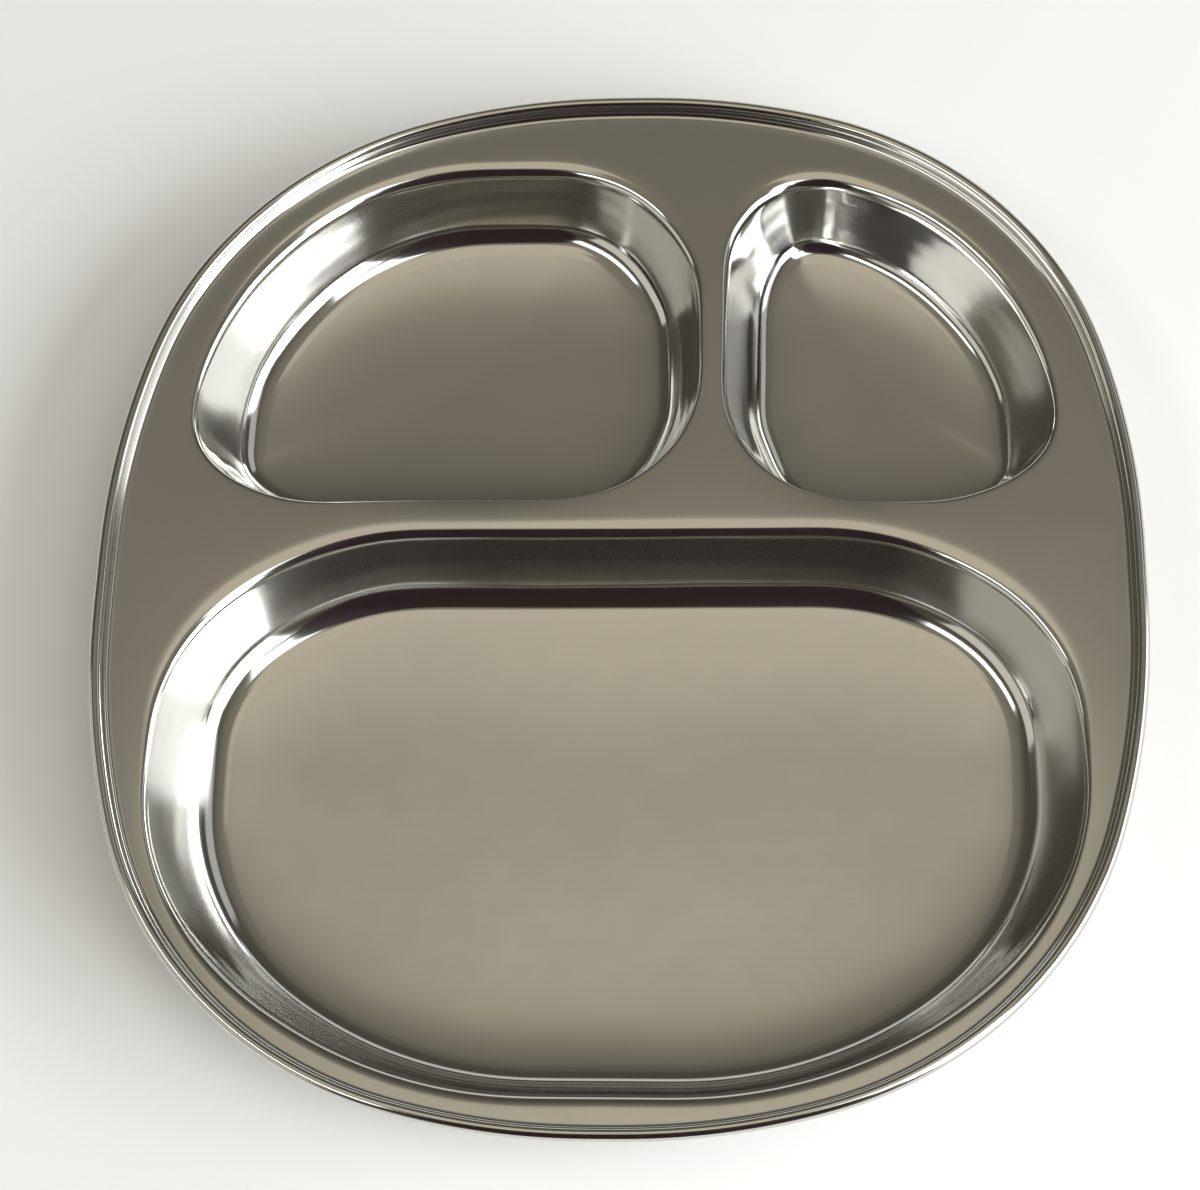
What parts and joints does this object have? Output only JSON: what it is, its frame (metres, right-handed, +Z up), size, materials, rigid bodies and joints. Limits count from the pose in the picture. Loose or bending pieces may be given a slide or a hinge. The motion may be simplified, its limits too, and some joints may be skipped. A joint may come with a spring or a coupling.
{
  "type": "divided compartment plate",
  "caption": "Pressed stainless steel plate with a large front compartment, smaller ones behind it, flat-topped dividers and a raised rolled edge, for serving a meal with its parts kept apart.",
  "frame": {"origin": "on the table under the middle of the plate's bounding box", "axes": "+Z up out of the compartments, +Y from the large compartment to the small ones, +X to the right"},
  "size_m": [0.225, 0.247, 0.0249],
  "materials": {
    "stainless_sheet": "satin on the deck and the compartment floors, polished on the walls, bends and rolled edge"
  },
  "bodies": {
    "root": {"pressed_plate": "stainless_sheet"}
  },
  "joints": []
}
